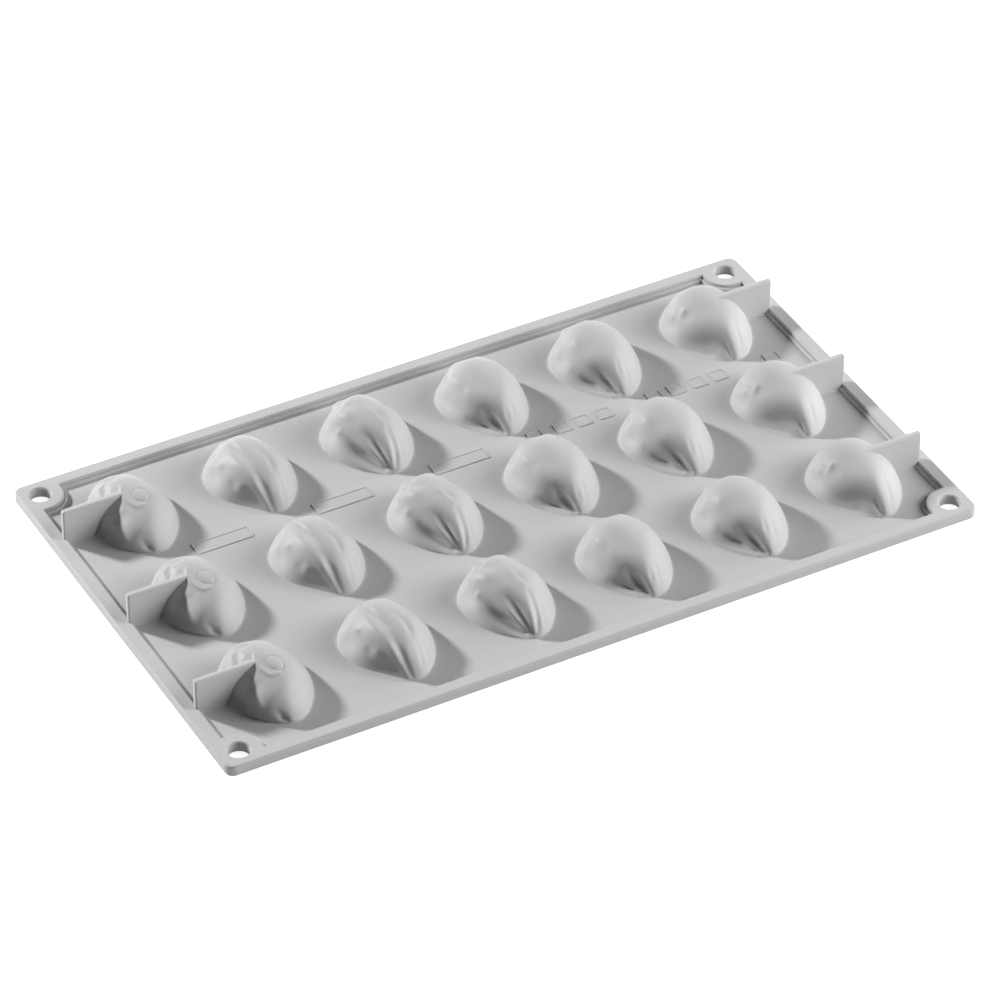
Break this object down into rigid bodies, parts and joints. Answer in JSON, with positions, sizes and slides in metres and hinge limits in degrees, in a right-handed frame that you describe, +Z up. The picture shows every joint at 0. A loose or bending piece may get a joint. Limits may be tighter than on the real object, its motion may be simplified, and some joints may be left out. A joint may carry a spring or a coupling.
{
  "type": "silicone baking mold",
  "caption": "Flat rectangular silicone baking mould with rows of thin-walled nut-half cups, a stepped stiffening rim, corner tabs with hanging holes and upright end fins.",
  "frame": {"origin": "centre of the footprint, on the flat filling face that the mould lies on", "axes": "+X along the long side, +Y along the short side towards the cups' blunt ends, +Z up through the cups' crowns"},
  "size_m": [0.3, 0.175, 0.0179],
  "materials": {
    "silicone": "matte light grey food-grade silicone with a fine moulded grain"
  },
  "bodies": {
    "root": {"corner_tab_back_left": "silicone", "corner_tab_back_right": "silicone", "corner_tab_front_left": "silicone", "corner_tab_front_right": "silicone", "cup_1_1": "silicone", "cup_1_2": "silicone", "cup_1_3": "silicone", "cup_1_4": "silicone", "cup_1_5": "silicone", "cup_1_6": "silicone", "cup_2_1": "silicone", "cup_2_2": "silicone", "cup_2_3": "silicone", "cup_2_4": "silicone", "cup_2_5": "silicone", "cup_2_6": "silicone", "cup_3_1": "silicone", "cup_3_2": "silicone", "cup_3_3": "silicone", "cup_3_4": "silicone", "cup_3_5": "silicone", "cup_3_6": "silicone", "fin_left_1": "silicone", "fin_left_2": "silicone", "fin_left_3": "silicone", "fin_right_1": "silicone", "fin_right_2": "silicone", "fin_right_3": "silicone", "rim_rail_back": "silicone", "rim_rail_front": "silicone", "rim_rail_left": "silicone", "rim_rail_right": "silicone", "web_cell_1_1": "silicone", "web_cell_1_2": "silicone", "web_cell_1_3": "silicone", "web_cell_1_4": "silicone", "web_cell_1_5": "silicone", "web_cell_1_6": "silicone", "web_cell_2_1": "silicone", "web_cell_2_2": "silicone", "web_cell_2_3": "silicone", "web_cell_2_4": "silicone", "web_cell_2_5": "silicone", "web_cell_2_6": "silicone", "web_cell_3_1": "silicone", "web_cell_3_2": "silicone", "web_cell_3_3": "silicone", "web_cell_3_4": "silicone", "web_cell_3_5": "silicone", "web_cell_3_6": "silicone"}
  },
  "joints": []
}
